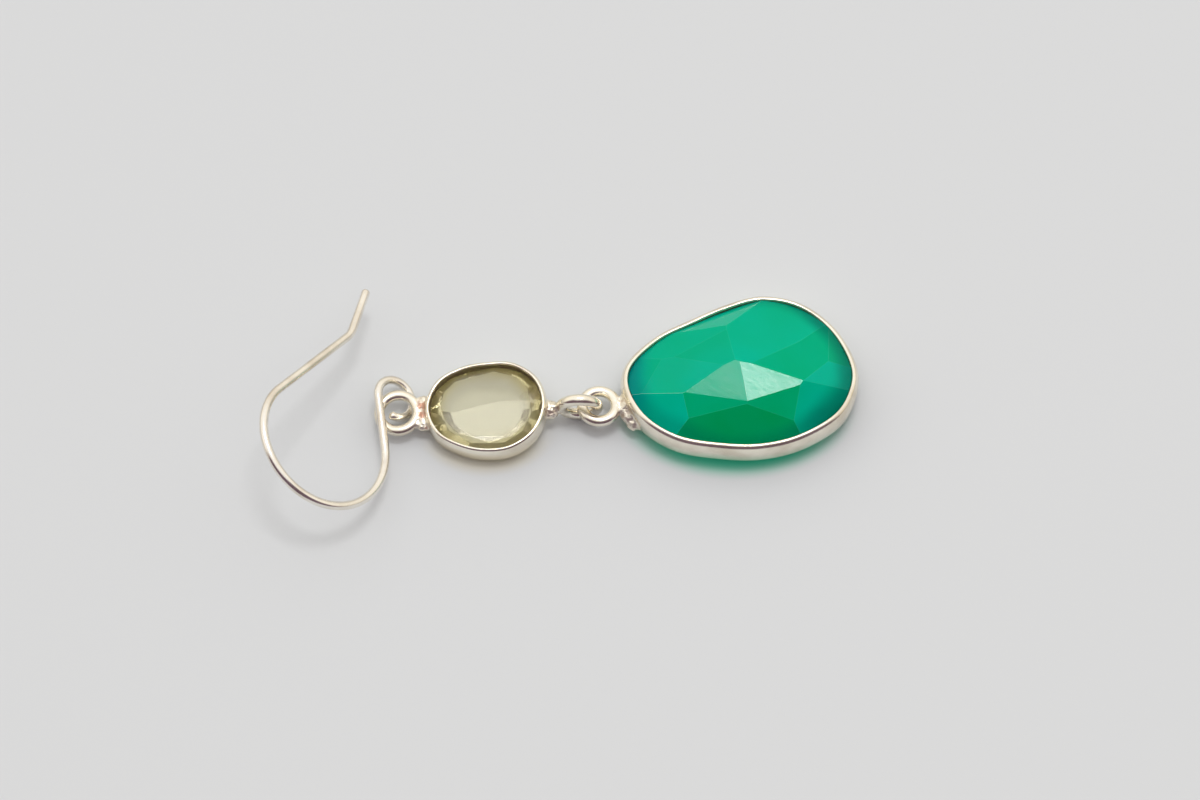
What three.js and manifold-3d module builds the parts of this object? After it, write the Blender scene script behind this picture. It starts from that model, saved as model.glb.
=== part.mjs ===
// Drop ear ring lying on a table: a wire hook, a small setting with a pale stone,
// and a large setting with a green stone. Millimetres, +Z up, +X from the hook to the green stone.
import * as THREE from "three";
import { mergeVertices } from "three/addons/utils/BufferGeometryUtils.js";
import Module from "manifold-3d";

// Ear hook, worked out in its own plane: the arch, the straight tail and the closed loop
const hookWire = 0.7;
const archRadius = 5.65;
const archTailRadius = 4.9;
const archTailTurn = 60;
const tailStraight = 8.2;
const tailBendRadius = 2.4;
const tailFlareAngle = 26;
const tailFlareLength = 4.1;
const loopRadius = 1.63;
const loopAhead = 8.41;
const loopAside = -0.98;
const loopSweep = 297;
// How the hook lies: its plane's slope down to the right, and its heading in that plane
const hookSlope = 36.7;
const hookHeading = 47.7;
const loopLeftOfRing = 0.3;
const loopBehindRing = 1.31;
const floorLift = 0.01;
// Its two cut ends are rounded over, in shares of the wire
const tailTipLength = 0.2;
const tailTipRadius = 0.3;
const loopTipLength = 0.1;
const loopTipRadius = 0.4;

// Upper setting and its stone
const upperHalfLength = 4.55;
const upperHalfWidth = 3.66;
const upperWallHeight = 1.9;
const upperWall = 0.36;
const upperLedge = 0.3;
const upperLedgeHeight = 0.5;
const upperCentreHeight = 1.65;
const upperRoll = 5.5;
const upperPitch = 2.4;
const upperStoneGirdle = 0.05;
const upperStoneCrown = 1.0;
const upperStoneBelt = 0.12;
const upperStoneBack = 1.4;

// Rings and links of round wire
const hookRingRadius = 1.53;
const hookRingWire = 0.85;
const hookRingNeck = 0.17;
const hookRingAside = -0.12;
const linkRadius = 1.43;
const linkWire = 0.93;
const linkNeck = 0.66;
const linkAside = 0.2;
const linkLift = -0.05;
const lowerRingRadius = 1.35;
const lowerRingWire = 0.9;
// How far left of the large opening's middle the lower ring is soldered on, and its gap there
const lowerRingFoot = 9.17;
const lowerRingNeck = 0.3;
const lowerRingHeight = 1.72;
// How far aside of the setting's middle the ring is, as a share of the half width
const lowerRingAside = -0.39;
const interlock = 0.57;
const linkFromRingY = 0.16;

// Drops of solder, from the foot of the ring or link on the wall, with their half sizes
const hookRingSolder = [
  { x: -0.05, y: 0, z: 0, halfX: 0.6, halfY: 0.95, halfZ: 0.5 },
  { x: 0.5, y: -1.75, z: -0.3, halfX: 0.5, halfY: 0.75, halfZ: 0.5 },
];
const linkSolder = [
  { x: 0.25, y: 0, z: 0, halfX: 0.75, halfY: 0.6, halfZ: 0.58 },
  { x: 0.05, y: -0.6, z: -0.3, halfX: 0.5, halfY: 0.5, halfZ: 0.4 },
];
const lowerRingSolder = [
  { x: 0.05, y: 0.1, z: 0, halfX: 0.75, halfY: 1.05, halfZ: 0.62 },
  { x: 0.5, y: -1.35, z: -0.62, halfX: 0.62, halfY: 0.55, halfZ: 0.6 },
];

// Lower setting and its stone
const lowerHalfLength = 8.93;
const lowerHalfWidth = 6.59;
const lowerWallBottom = 0.85;
const lowerWallTop = 3.02;
const lowerWall = 0.5;
const lowerLedge = 0.28;
const lowerLedgeHeight = 0.6;
const lowerStoneGirdle = 2.6;
const lowerStoneCrown = 2.55;
const lowerStoneBelt = 0.5;

// Between a stone and the wall round it
const stoneClearance = 0.06;
// A block that is cut to a stone starts taller than the crown by this factor
const uncutHeight = 1.5;

// How finely round things are divided
const hookSides = 14;
const bendSteps = 8;
const tailArchSteps = 12;
const archSteps = 32;
const loopSteps = 34;
const wallSteps = 72;
const ringSides = 12;
const ringSteps = 32;
const solderSides = 14;
const solderRows = 10;

// Section of a setting's wall, over the rim, down the outside and up over the ledge:
// shares of the wall's and the ledge's thickness, and of the wall's and the ledge's height
const wallSection = [
  { wall: 0, ledge: 0, rise: 0.965, step: 0 },
  { wall: 0.2, ledge: 0, rise: 1, step: 0 },
  { wall: 0.55, ledge: 0, rise: 1, step: 0 },
  { wall: 0.85, ledge: 0, rise: 0.93, step: 0 },
  { wall: 1, ledge: 0, rise: 0.75, step: 0 },
  { wall: 1.12, ledge: 0, rise: 0.4, step: 0 },
  { wall: 1, ledge: 0, rise: 0.12, step: 0 },
  { wall: 0.7, ledge: 0, rise: 0, step: 0 },
  { wall: 0, ledge: 0.8, rise: 0, step: 0 },
  { wall: 0, ledge: 1, rise: 0, step: 0.5 },
  { wall: 0, ledge: 0.7, rise: 0, step: 1 },
  { wall: 0, ledge: 0, rise: 0, step: 1 },
];

// Outline of the upper opening, in shares of its half length and half width
const upperOutline = [
  { x: 0.998, y: 0.03 },
  { x: 0.86, y: 0.613 },
  { x: 0.449, y: 0.961 },
  { x: 0.0, y: 0.977 },
  { x: -0.42, y: 0.875 },
  { x: -0.82, y: 0.575 },
  { x: -1.0, y: 0.0 },
  { x: -0.813, y: -0.579 },
  { x: -0.412, y: -0.881 },
  { x: 0.0, y: -0.994 },
  { x: 0.435, y: -0.93 },
  { x: 0.816, y: -0.582 },
];

// Outline of the lower opening, the same way
const lowerOutline = [
  { x: 1.004, y: 0.02 },
  { x: 0.838, y: 0.55 },
  { x: 0.537, y: 0.9 },
  { x: 0.2, y: 0.992 },
  { x: -0.11, y: 0.868 },
  { x: -0.42, y: 0.665 },
  { x: -0.74, y: 0.42 },
  { x: -0.985, y: 0.05 },
  { x: -1.002, y: -0.22 },
  { x: -0.86, y: -0.6 },
  { x: -0.57, y: -0.88 },
  { x: -0.164, y: -0.988 },
  { x: 0.165, y: -0.995 },
  { x: 0.501, y: -0.88 },
  { x: 0.838, y: -0.59 },
  { x: 0.965, y: -0.31 },
];

// Facets over the lower stone's girdle: the height over the middle in shares of the crown,
// and how far the facet falls over half the length and half the width
const lowerCrownFacets = [
  { top: 0.949, fallX: 0.11, fallY: -0.542 },
  { top: 0.9535, fallX: -0.18, fallY: -0.58 },
  { top: 1.119, fallX: -0.252, fallY: -0.904 },
  { top: 1.227, fallX: 0.335, fallY: -1.05 },
  { top: 1.668, fallX: 0.02, fallY: -1.87 },
  { top: 1.668, fallX: -1.19, fallY: -1.06 },
  { top: 1.882, fallX: 1.48, fallY: -1.22 },
  { top: 1.597, fallX: 1.5, fallY: -0.08 },
  { top: 0.962, fallX: 0.64, fallY: 0.52 },
  { top: 0.924, fallX: 0.57, fallY: 0.52 },
  { top: 0.898, fallX: 0.4, fallY: 0.71 },
  { top: 0.964, fallX: -0.82, fallY: 0.54 },
  { top: 1.64, fallX: -1.02, fallY: 1.77 },
  { top: 1.088, fallX: -0.98, fallY: 0.76 },
  { top: 1.005, fallX: -0.95, fallY: 0.26 },
  { top: 1.692, fallX: 1.57, fallY: 0.48 },
  { top: 1.14, fallX: -1.13, fallY: 0.33 },
];
const lowerBackFacets = 14;
const lowerBackSlope = 48;

// The same for the upper stone: a wide facet in front of a ridge that bends twice, and behind it
// a small one in the middle with others round it
const upperCrownFacets = [
  { top: 0.95, fallX: 0.09, fallY: -0.3 },
  { top: 0.961, fallX: 0.0, fallY: 0.12 },
  { top: 0.962, fallX: -0.044, fallY: 0.124 },
  { top: 1.024, fallX: -0.124, fallY: 0.27 },
  { top: 1.112, fallX: 0.119, fallY: 0.37 },
  { top: 0.991, fallX: 0.073, fallY: 0.131 },
];
const upperRimFacets = 12;
const upperRimSlope = 44;
const upperBackFacets = 10;
const upperBackSlope = 38;

const wasm = await Module();
wasm.setup();

const degrees = Math.PI / 180;

// A geometry as a solid that can be joined and cut
function solidOf(geometry) {
  const bare = new THREE.BufferGeometry();
  const plain = geometry.index ? geometry.toNonIndexed() : geometry;
  bare.setAttribute("position", plain.getAttribute("position"));
  const merged = mergeVertices(bare, 1e-5);
  return new wasm.Manifold(
    new wasm.Mesh({
      numProp: 3,
      vertProperties: merged.attributes.position.array,
      triVerts: new Uint32Array(merged.index.array),
    }),
  );
}

// A solid as a geometry
function geometryOf(solid) {
  const mesh = solid.getMesh();
  const positions = new Float32Array(mesh.numVert * 3);
  for (let i = 0; i < mesh.numVert; i += 1) {
    for (let k = 0; k < 3; k += 1) {
      positions[3 * i + k] = mesh.vertProperties[mesh.numProp * i + k];
    }
  }
  const geometry = new THREE.BufferGeometry();
  geometry.setAttribute("position", new THREE.BufferAttribute(positions, 3));
  geometry.setIndex(new THREE.BufferAttribute(mesh.triVerts, 1));
  return geometry;
}

// A closed skin over rows of points: each row is a loop, and the last row meets the first
// where closed is true, or else both end rows are filled
function skin(rows, closed) {
  const positions = [];
  const count = rows[0].length;
  const last = closed ? rows.length : rows.length - 1;
  function triangle(a, b, c) {
    positions.push(a.x, a.y, a.z, b.x, b.y, b.z, c.x, c.y, c.z);
  }
  for (let i = 0; i < last; i += 1) {
    const here = rows[i];
    const next = rows[(i + 1) % rows.length];
    for (let k = 0; k < count; k += 1) {
      const m = (k + 1) % count;
      triangle(here[k], here[m], next[m]);
      triangle(here[k], next[m], next[k]);
    }
  }
  if (!closed) {
    const start = rows[0];
    const end = rows[rows.length - 1];
    for (let k = 1; k < count - 1; k += 1) {
      triangle(start[0], start[k + 1], start[k]);
      triangle(end[0], end[k], end[k + 1]);
    }
  }
  const geometry = new THREE.BufferGeometry();
  geometry.setAttribute("position", new THREE.Float32BufferAttribute(positions, 3));
  return geometry;
}

// Points evenly along a closed outline, each with its outward direction
function outlinePoints(shares, halfLength, halfWidth, steps) {
  const knots = shares.map((s) => new THREE.Vector3(s.x * halfLength, s.y * halfWidth, 0));
  const curve = new THREE.CatmullRomCurve3(knots, true, "centripetal");
  const points = curve.getSpacedPoints(steps).slice(0, steps);
  return points.map((point, i) => {
    const before = points[(i + steps - 1) % steps];
    const after = points[(i + 1) % steps];
    const along = after.clone().sub(before).normalize();
    return { point, out: new THREE.Vector3(along.y, -along.x, 0) };
  });
}

// The wall of a setting: its section goes round the opening, with a ledge below the stone
function wallSolid(points, bottom, top, wall, ledge, ledgeHeight) {
  const section = wallSection.map((s) => ({
    out: wall * s.wall - ledge * s.ledge,
    z: bottom + (top - bottom) * s.rise + ledgeHeight * s.step,
  }));
  const rows = points.map(({ point, out }) =>
    section.map((s) => point.clone().addScaledVector(out, s.out).setZ(s.z)),
  );
  return solidOf(skin(rows, true));
}

// A block of the outline's shape, narrower than the opening by the inset
function blockSolid(points, inset, bottom, top) {
  const rows = [bottom, top].map((z) =>
    points.map(({ point, out }) => point.clone().addScaledVector(out, -inset).setZ(z)),
  );
  return solidOf(skin(rows, false));
}

// How far the outline reaches in a direction
function reachOf(points, inset, direction) {
  return Math.max(...points.map(({ point }) => point.dot(direction))) - inset;
}

// Cuts a block down to the planes of the wide facets
function cutWideFacets(block, facets, halfLength, halfWidth, girdle, crown) {
  let stone = block;
  for (const { top, fallX, fallY } of facets) {
    const normal = new THREE.Vector3(
      (fallX * crown) / halfLength,
      (fallY * crown) / halfWidth,
      1,
    );
    const size = normal.length();
    const offset = (girdle + top * crown) / size;
    normal.divideScalar(size);
    stone = stone.trimByPlane([-normal.x, -normal.y, -normal.z], -offset);
  }
  return stone;
}

// Cuts even facets all round, up from the height of the belt when side is 1, or down when it is -1
function cutRoundFacets(block, points, inset, count, slope, belt, side) {
  let stone = block;
  for (let i = 0; i < count; i += 1) {
    const heading = ((i + 0.5) / count) * 2 * Math.PI;
    const direction = new THREE.Vector3(Math.cos(heading), Math.sin(heading), 0);
    const reach = reachOf(points, inset, direction);
    const lean = Math.sin(slope * degrees);
    const rise = side * Math.cos(slope * degrees);
    const offset = reach * lean + belt * rise;
    stone = stone.trimByPlane([-direction.x * lean, -direction.y * lean, -rise], -offset);
  }
  return stone;
}

// A ring of round wire lying flat round the middle
function ringSolid(radius, wire) {
  return solidOf(new THREE.TorusGeometry(radius, wire / 2, ringSides, ringSteps));
}

// Joins drops of solder, each a ball made wider or flatter, to a ring near its foot on the wall
function soldered(ring, drops, footX, footY, footZ) {
  let joined = ring;
  for (const { x, y, z, halfX, halfY, halfZ } of drops) {
    const drop = new THREE.SphereGeometry(1, solderSides, solderRows);
    drop.scale(halfX, halfY, halfZ);
    drop.translate(footX + x, footY + y, footZ + z);
    joined = joined.add(solidOf(drop));
  }
  return joined;
}

// The hook's middle line in its own plane, with the arch round the origin
function hookLine() {
  const points = [];
  const flare = tailFlareAngle * degrees;
  // The arch tightens where it turns into the tail
  const tailAngle = (90 + archTailTurn) * degrees;
  const shiftX = (archRadius - archTailRadius) * Math.cos(tailAngle);
  const shiftY = (archRadius - archTailRadius) * Math.sin(tailAngle);
  const tailY = shiftY + archTailRadius;
  const bendX = tailStraight + tailBendRadius * Math.sin(flare);
  const bendY = tailY + tailBendRadius * (1 - Math.cos(flare));
  points.push([
    bendX + tailFlareLength * Math.cos(flare),
    bendY + tailFlareLength * Math.sin(flare),
  ]);
  for (let i = 0; i <= bendSteps; i += 1) {
    const a = flare * (1 - i / bendSteps);
    points.push([
      tailStraight + tailBendRadius * Math.sin(a),
      tailY + tailBendRadius * (1 - Math.cos(a)),
    ]);
  }
  points.push([tailStraight / 2, tailY]);
  for (let i = 0; i < tailArchSteps; i += 1) {
    const a = Math.PI / 2 + (archTailTurn * degrees * i) / tailArchSteps;
    points.push([
      shiftX + archTailRadius * Math.cos(a),
      shiftY + archTailRadius * Math.sin(a),
    ]);
  }
  // The arch meets the loop over a straight stretch that touches both circles
  const span = Math.hypot(loopAhead, loopAside);
  const lean = Math.atan2(loopAside, loopAhead);
  const open = Math.acos((archRadius + loopRadius) / span);
  const archEnd = 2 * Math.PI + lean - open;
  for (let i = 0; i <= archSteps; i += 1) {
    const a = tailAngle + ((archEnd - tailAngle) * i) / archSteps;
    points.push([archRadius * Math.cos(a), archRadius * Math.sin(a)]);
  }
  const loopStart = archEnd - Math.PI;
  for (let i = 0; i <= loopSteps; i += 1) {
    const a = loopStart - (loopSweep * degrees * i) / loopSteps;
    points.push([
      loopAhead + loopRadius * Math.cos(a),
      loopAside + loopRadius * Math.sin(a),
    ]);
  }
  return points;
}

// A round wire along a line in the plane z = 0, with its ends rounded over
function wireSolid(line, wire) {
  const middle = line.map(([x, y]) => new THREE.Vector3(x, y, 0));
  const rows = [];
  function row(point, along, radius) {
    const side = new THREE.Vector3(-along.y, along.x, 0);
    const loop = [];
    for (let k = 0; k < hookSides; k += 1) {
      const a = (k / hookSides) * 2 * Math.PI;
      const spot = point.clone().addScaledVector(side, radius * Math.cos(a));
      loop.push(spot.setZ(radius * Math.sin(a)));
    }
    rows.push(loop);
  }
  middle.forEach((point, i) => {
    const before = middle[Math.max(i - 1, 0)];
    const after = middle[Math.min(i + 1, middle.length - 1)];
    const along = after.clone().sub(before).normalize();
    if (i === 0) {
      const tip = point.clone().addScaledVector(along, -tailTipLength * wire);
      row(tip, along, wire * tailTipRadius);
    }
    row(point, along, wire / 2);
    if (i === middle.length - 1) {
      const tip = point.clone().addScaledVector(along, loopTipLength * wire);
      row(tip, along, wire * loopTipRadius);
    }
  });
  return solidOf(skin(rows, false));
}

function meshOf(name, solid, matrix, colour, roughness, metalness) {
  const material = new THREE.MeshStandardMaterial({ color: colour, roughness, metalness });
  material.name = name;
  const geometry = geometryOf(solid);
  geometry.applyMatrix4(matrix);
  const mesh = new THREE.Mesh(geometry, material);
  mesh.name = name;
  return mesh;
}

// Places along the drop, from the green stone's middle to the left
const lowerPoints = outlinePoints(lowerOutline, lowerHalfLength, lowerHalfWidth, wallSteps);
const lowerRingX = -lowerRingFoot - lowerRingNeck - lowerRingRadius - lowerRingWire / 2;
const lowerRingY = lowerRingAside * lowerHalfWidth;
const linkX = lowerRingX - interlock * (lowerRingRadius + linkRadius);
const linkY = lowerRingY - linkFromRingY;
const upperPoints = outlinePoints(upperOutline, upperHalfLength, upperHalfWidth, wallSteps);
const upperReach = upperHalfLength + upperWall;
const linkFromUpper = upperReach + linkNeck + linkRadius + linkWire / 2;
const ringFromUpper = upperReach + hookRingNeck + hookRingRadius + hookRingWire / 2;

// Lower setting: the wall, a flat ring and the solder that holds it
const lowerMatrix = new THREE.Matrix4();
const lowerRing = ringSolid(lowerRingRadius, lowerRingWire).translate([
  lowerRingX,
  lowerRingY,
  lowerRingHeight,
]);
const lowerFoot = soldered(
  lowerRing,
  lowerRingSolder,
  -lowerRingFoot,
  lowerRingY,
  lowerRingHeight,
);
const lowerOpening = blockSolid(lowerPoints, 0, 0, 2 * lowerWallTop);
const lowerSetting = wallSolid(
  lowerPoints,
  lowerWallBottom,
  lowerWallTop,
  lowerWall,
  lowerLedge,
  lowerLedgeHeight,
).add(lowerFoot.subtract(lowerOpening));

// Lower stone: a domed crown of wide facets, a belt, and a flat back that it lies on
const lowerBlock = blockSolid(
  lowerPoints,
  stoneClearance,
  0,
  lowerStoneGirdle + uncutHeight * lowerStoneCrown,
);
const lowerStone = cutRoundFacets(
  cutWideFacets(
    lowerBlock,
    lowerCrownFacets,
    lowerHalfLength,
    lowerHalfWidth,
    lowerStoneGirdle,
    lowerStoneCrown,
  ),
  lowerPoints,
  stoneClearance,
  lowerBackFacets,
  lowerBackSlope,
  lowerStoneGirdle - lowerStoneBelt,
  -1,
);

// Upper setting: it leans a little to the front, and its right end is propped up by the link
const upperTilt = new THREE.Matrix4()
  .makeRotationX(upperRoll * degrees)
  .multiply(new THREE.Matrix4().makeRotationY(-upperPitch * degrees));
const upperOrigin = new THREE.Vector3(linkFromUpper, linkAside, 0).applyMatrix4(upperTilt);
const upperX = linkX - upperOrigin.x;
const upperY = linkY - upperOrigin.y;
const upperMatrix = new THREE.Matrix4()
  .makeTranslation(upperX, upperY, upperCentreHeight)
  .multiply(upperTilt);
const hookRing = ringSolid(hookRingRadius, hookRingWire).translate([
  -ringFromUpper,
  hookRingAside,
  0,
]);
const link = ringSolid(linkRadius, linkWire)
  .rotate([90, 0, 0])
  .translate([linkFromUpper, linkAside, linkLift]);
const hookRingFoot = soldered(hookRing, hookRingSolder, -upperReach, hookRingAside, 0);
const linkFoot = soldered(link, linkSolder, upperReach, linkAside, 0);
const upperOpening = blockSolid(upperPoints, 0, -upperWallHeight, upperWallHeight);
const upperSetting = wallSolid(
  upperPoints,
  -upperWallHeight / 2,
  upperWallHeight / 2,
  upperWall,
  upperLedge,
  upperLedgeHeight,
).add(hookRingFoot.add(linkFoot).subtract(upperOpening));

// Upper stone: a low crown with a ridge, facets all round it, and a faceted back
const upperBlock = blockSolid(
  upperPoints,
  stoneClearance,
  upperStoneGirdle - upperStoneBack,
  upperStoneGirdle + uncutHeight * upperStoneCrown,
);
const upperStone = cutRoundFacets(
  cutRoundFacets(
    cutWideFacets(
      upperBlock,
      upperCrownFacets,
      upperHalfLength,
      upperHalfWidth,
      upperStoneGirdle,
      upperStoneCrown,
    ),
    upperPoints,
    stoneClearance,
    upperRimFacets,
    upperRimSlope,
    upperStoneGirdle,
    1,
  ),
  upperPoints,
  stoneClearance,
  upperBackFacets,
  upperBackSlope,
  upperStoneGirdle - upperStoneBelt,
  -1,
);

// Ear hook: its loop goes through the flat ring, and its plane rises to the left
const ringCentre = new THREE.Vector3(-ringFromUpper, hookRingAside, 0);
ringCentre.applyMatrix4(upperMatrix);
const loopHeight =
  hookWire / 2 + loopRadius * Math.sin(hookSlope * degrees) + floorLift;
const hookMatrix = new THREE.Matrix4()
  .makeTranslation(
    ringCentre.x - loopLeftOfRing,
    ringCentre.y + loopBehindRing,
    loopHeight,
  )
  .multiply(new THREE.Matrix4().makeRotationY(hookSlope * degrees))
  .multiply(new THREE.Matrix4().makeRotationZ(hookHeading * degrees))
  .multiply(new THREE.Matrix4().makeTranslation(-loopAhead, -loopAside, 0));
const earHook = wireSolid(hookLine(), hookWire);

const silver = 0xe4dccb;
const part = new THREE.Group();
part.name = "drop_ear_ring";
part.add(
  meshOf("ear_hook", earHook, hookMatrix, silver, 0.25, 1),
  meshOf("upper_setting", upperSetting, upperMatrix, silver, 0.3, 1),
  meshOf("upper_stone", upperStone, upperMatrix, 0xd6d0ab, 0.05, 0),
  meshOf("lower_setting", lowerSetting, lowerMatrix, silver, 0.3, 1),
  meshOf("lower_stone", lowerStone, lowerMatrix, 0x00a37c, 0.08, 0),
);

// The origin goes under the middle of the whole
const bounds = new THREE.Box3().setFromObject(part);
const middle = bounds.getCenter(new THREE.Vector3());
for (const mesh of part.children) {
  mesh.geometry.translate(-middle.x, -middle.y, -bounds.min.z);
}

export default part;
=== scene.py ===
import math

import bmesh
import bpy
import numpy as np
from mathutils import Matrix, Vector, kdtree, noise


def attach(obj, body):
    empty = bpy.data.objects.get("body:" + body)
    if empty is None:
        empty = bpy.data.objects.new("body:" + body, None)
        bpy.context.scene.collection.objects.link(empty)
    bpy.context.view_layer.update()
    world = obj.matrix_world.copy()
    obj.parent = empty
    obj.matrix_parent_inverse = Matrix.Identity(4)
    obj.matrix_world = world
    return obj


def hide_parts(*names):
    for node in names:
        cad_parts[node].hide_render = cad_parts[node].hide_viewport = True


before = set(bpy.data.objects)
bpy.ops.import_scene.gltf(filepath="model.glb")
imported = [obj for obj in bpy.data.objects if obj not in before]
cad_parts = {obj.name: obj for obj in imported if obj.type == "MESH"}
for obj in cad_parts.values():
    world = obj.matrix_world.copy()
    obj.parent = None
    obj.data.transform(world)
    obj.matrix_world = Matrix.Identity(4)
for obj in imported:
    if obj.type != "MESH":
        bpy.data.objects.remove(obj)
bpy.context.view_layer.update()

# The table: a wide sheet of smooth pale grey paper that the jewel lies on. The light that
# comes through the green stone is painted onto the paper as green colour and a green glow
# along the stone's near side, and the pale stone's light is painted as a faint yellow tint.

TABLE_SIZE = 1.6
PAPER = (0.66, 0.685, 0.715, 1)
PAINTED_GREEN_LIGHT = (0.02, 0.36, 0.24, 1)
PAINTED_YELLOW_LIGHT = (0.64, 0.61, 0.5, 1)
PAPER_ROUGHNESS = 0.8
PAPER_GLOSS = 0.15
PAINTED_GREEN_GLOW = (0.0, 0.11, 0.06, 1)
BLACK = (0, 0, 0, 1)
# Middles and half sizes of the two settings on the paper, in metres
GREEN_SPOT = ((0.0136, 0.0025, 0), (0.0095, 0.0071, 1))
YELLOW_SPOT = ((-0.0063, -0.0002, 0), (0.0049, 0.0041, 1))
# Where the painted light on the paper starts to fade and ends, in half sizes, outwards and
# backwards
GREEN_REACH = (0.9, 1.14)
YELLOW_REACH = (0.95, 1.25)
NEAR_SIDE = (-0.9, -0.1)
GREEN_LIGHT_SHARE = 0.85
YELLOW_LIGHT_SHARE = 0.7
PAPER_GRAIN = 900.0


class Socket:
    """A node's socket that can be used in plain arithmetic."""

    def __init__(self, tree, socket):
        self.tree = tree
        self.socket = socket

    def maths(self, operation, *values):
        return add_node(self.tree, "ShaderNodeMath", {"operation": operation}, values)

    def __add__(self, other):
        return self.maths("ADD", self, other)

    def __sub__(self, other):
        return self.maths("SUBTRACT", self, other)

    def __mul__(self, other):
        return self.maths("MULTIPLY", self, other)

    def __truediv__(self, other):
        return self.maths("DIVIDE", self, other)

    def __rsub__(self, other):
        return self.maths("SUBTRACT", other, self)

    __radd__ = __add__
    __rmul__ = __mul__


def add_node(tree, kind, settings=None, values=(), output=0):
    """Adds a node, makes its settings, then fills its sockets by place or by name."""
    node = tree.nodes.new(kind)
    for name, value in (settings or {}).items():
        if name == "ramp":
            ramp = node.color_ramp
            while len(ramp.elements) < len(value):
                ramp.elements.new(0.5)
            for element, (position, colour) in zip(ramp.elements, value):
                element.position = position
                element.color = (*colour, 1)
        else:
            setattr(node, name, value)
    pairs = values.items() if isinstance(values, dict) else enumerate(values)
    for key, value in pairs:
        feed(tree, node, key, value)
    return Socket(tree, node.outputs[output])


def feed(tree, node, name, value):
    """Sets a socket, or links a varying value to it."""
    if isinstance(value, Socket):
        tree.links.new(value.socket, node.inputs[name])
    else:
        node.inputs[name].default_value = value


def new_material(name):
    material = bpy.data.materials.new(name)
    material.use_nodes = True
    return material, material.node_tree, material.node_tree.nodes["Principled BSDF"]


def object_place(tree):
    return add_node(tree, "ShaderNodeTexCoord", output="Object")


def measured(tree, place, middle, sizes, turn=(0, 0, 0)):
    """A place in turned axes from a middle, in multiples of the sizes."""
    values = {"Vector": place, "Location": middle, "Rotation": turn, "Scale": sizes}
    return add_node(tree, "ShaderNodeMapping", {"vector_type": "TEXTURE"}, values)


def distance_across(tree, place):
    """How far a place is from the middle, seen from above."""
    values = [place, (1, 1, 0)]
    flat = add_node(tree, "ShaderNodeVectorMath", {"operation": "MULTIPLY"}, values)
    return add_node(tree, "ShaderNodeVectorMath", {"operation": "LENGTH"}, [flat], "Value")


def mix_colour(tree, factor, first, second):
    settings = {"data_type": "RGBA", "clamp_factor": True}
    return add_node(tree, "ShaderNodeMix", settings, {0: factor, 6: first, 7: second}, 2)


def smooth_step(tree, value, low, high):
    settings = {"interpolation_type": "SMOOTHSTEP"}
    return add_node(tree, "ShaderNodeMapRange", settings, {0: value, 1: low, 2: high})


def cloud(tree, place, scale, detail=2.0, roughness=0.5):
    values = {"Vector": place, "Scale": scale, "Detail": detail, "Roughness": roughness}
    return add_node(tree, "ShaderNodeTexNoise", None, values)


def axis_of(tree, place, name):
    return add_node(tree, "ShaderNodeSeparateXYZ", None, [place], name)


def add_bump(tree, shader, height, strength, distance):
    values = {"Strength": strength, "Distance": distance, "Height": height}
    feed(tree, shader, "Normal", add_node(tree, "ShaderNodeBump", None, values))


def halo(tree, place, spot, reach):
    """How strongly painted light covers a place round a spot: full inside it, and only on its
    near side.
    """
    local = measured(tree, place, *spot)
    near_side = 1.0 - smooth_step(tree, axis_of(tree, local, "Y"), *NEAR_SIDE)
    return (1.0 - smooth_step(tree, distance_across(tree, local), *reach)) * near_side


paper, tree, shader = new_material("table_paper")
place = object_place(tree)
green = halo(tree, place, GREEN_SPOT, GREEN_REACH)
yellow = halo(tree, place, YELLOW_SPOT, YELLOW_REACH)
# Painted light: the paper's colour is mixed toward green and yellow where light through the
# stones falls
colour = mix_colour(tree, yellow * YELLOW_LIGHT_SHARE, PAPER, PAINTED_YELLOW_LIGHT)
colour = mix_colour(tree, green * GREEN_LIGHT_SHARE, colour, PAINTED_GREEN_LIGHT)
feed(tree, shader, "Base Color", colour)
feed(tree, shader, "Roughness", PAPER_ROUGHNESS)
feed(tree, shader, "Specular IOR Level", PAPER_GLOSS)
# Painted light: the paper glows green by the green stone, though it is no lamp
feed(tree, shader, "Emission Color", mix_colour(tree, green, BLACK, PAINTED_GREEN_GLOW))
feed(tree, shader, "Emission Strength", 1.0)
add_bump(tree, shader, cloud(tree, place, PAPER_GRAIN, 3.0), 0.05, 0.0001)

half = TABLE_SIZE / 2
table_mesh = bpy.data.meshes.new("table")
table_mesh.from_pydata(
    [(-half, -half, 0), (half, -half, 0), (half, half, 0), (-half, half, 0)],
    [],
    [(0, 1, 2, 3)],
)
table_mesh.materials.append(paper)
table = bpy.data.objects.new("table", table_mesh)
bpy.context.scene.collection.objects.link(table)

# The light: one soft lamp overhead in a pale room, with the dark of the camera's side low in
# front, which the silver mirrors as thin lines.

LAMP_PLACE = (0.045, 0.075, 0.6)
LAMP_WIDTH = 0.2
LAMP_DEPTH = 0.14
LAMP_RADIANCE = 10.0
LAMP_COLOUR = (1.0, 0.98, 0.95)
# Colours of the room from the height of the table up to overhead
ROOM = [
    (0.0, (0.42, 0.38, 0.33)),
    (0.12, (0.66, 0.61, 0.52)),
    (0.3, (0.98, 0.92, 0.8)),
    (0.6, (1.06, 1.01, 0.92)),
    (0.9, (1.05, 1.04, 1.02)),
]
FRONT_SHADE = (0.15, 0.1, 0.13, 1)
# Where the shade in front begins and is full, and where it fades and ends overhead
SHADE_START = (0.2, 0.5)
SHADE_TOP = (0.72, 0.88)

lamp = bpy.data.lights.new("overhead", "AREA")
lamp.shape = "RECTANGLE"
lamp.size = LAMP_WIDTH
lamp.size_y = LAMP_DEPTH
lamp.energy = LAMP_RADIANCE * math.pi * LAMP_WIDTH * LAMP_DEPTH
lamp.color = LAMP_COLOUR
holder = bpy.data.objects.new("overhead", lamp)
holder.location = LAMP_PLACE
holder.rotation_euler = (-Vector(LAMP_PLACE)).to_track_quat("-Z", "Y").to_euler()
bpy.context.scene.collection.objects.link(holder)

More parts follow.
